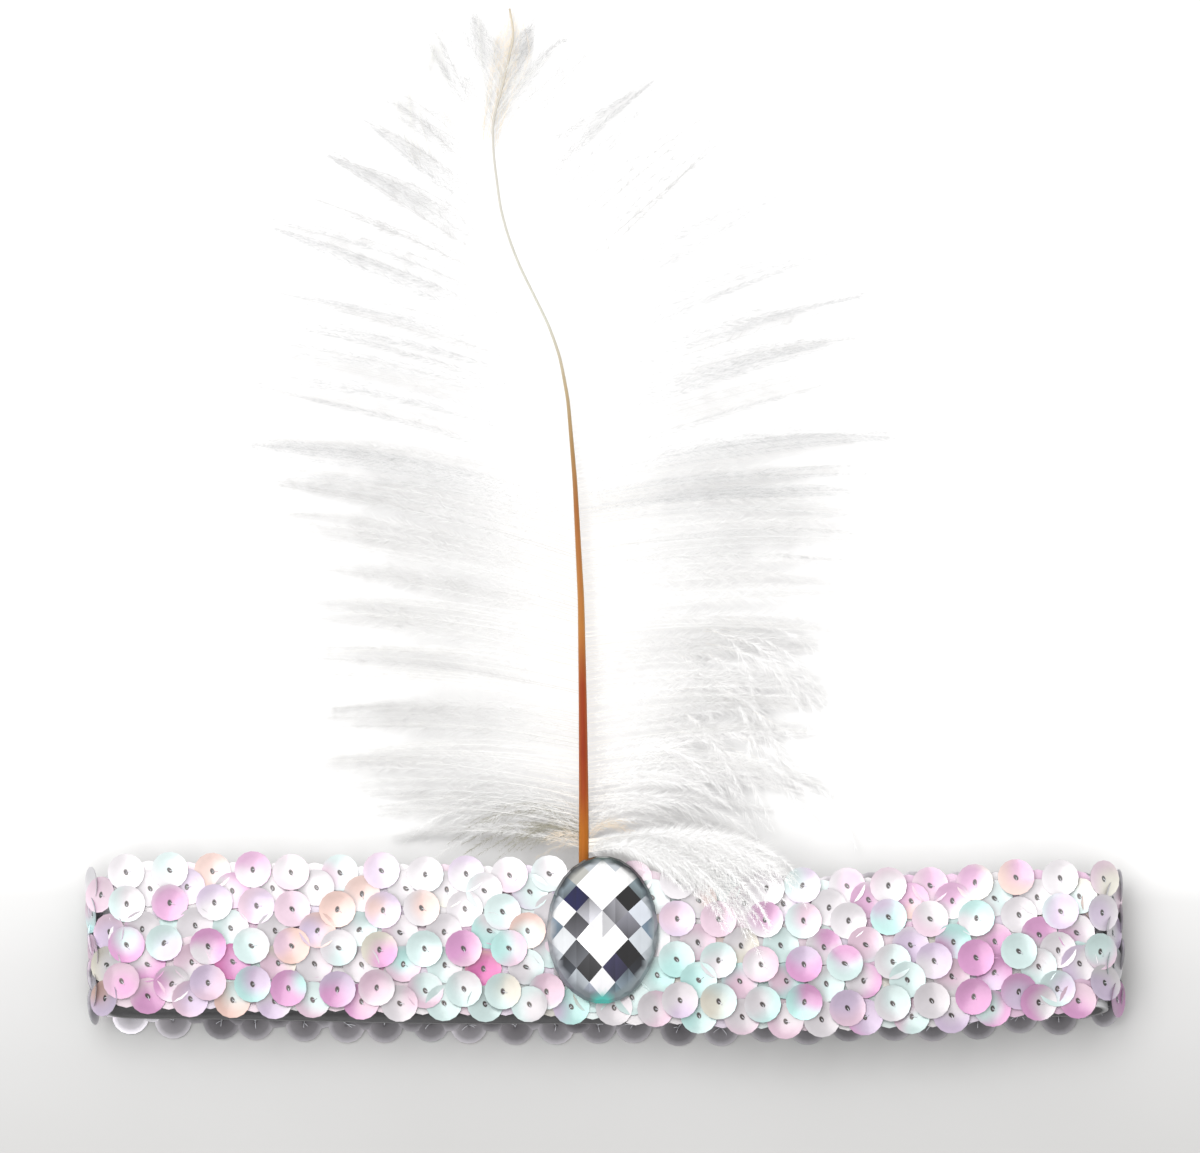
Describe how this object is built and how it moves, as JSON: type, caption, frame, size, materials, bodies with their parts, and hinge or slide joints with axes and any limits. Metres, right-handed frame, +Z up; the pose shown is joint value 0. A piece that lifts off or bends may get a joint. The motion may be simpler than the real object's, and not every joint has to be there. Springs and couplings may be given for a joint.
{
  "type": "flapper feather headband",
  "caption": "Flapper headband lying flat: stretch loop covered in pearly sequins, faceted oval gem at the middle and an upright white ostrich plume with a bare tapering shaft.",
  "frame": {"origin": "on the table, under the middle of the whole object's box as it lies flat", "axes": "+X along the folded band to the viewer's right, +Y from the band towards the plume's tip, +Z up from the table"},
  "size_m": [0.1952, 0.202, 0.0204],
  "materials": {
    "elastic": "ribbed knit",
    "sequins": "pearly iridescent",
    "gem": "foil backed, faceted",
    "shaft": "smooth horn",
    "barbs": "fluffy"
  },
  "bodies": {
    "root": {"elastic_band": "elastic", "sequin_cover": "sequins", "gem": "gem", "feather_shaft": "shaft", "vane_left": "barbs", "vane_right": "barbs", "down_tuft": "barbs"}
  },
  "joints": []
}
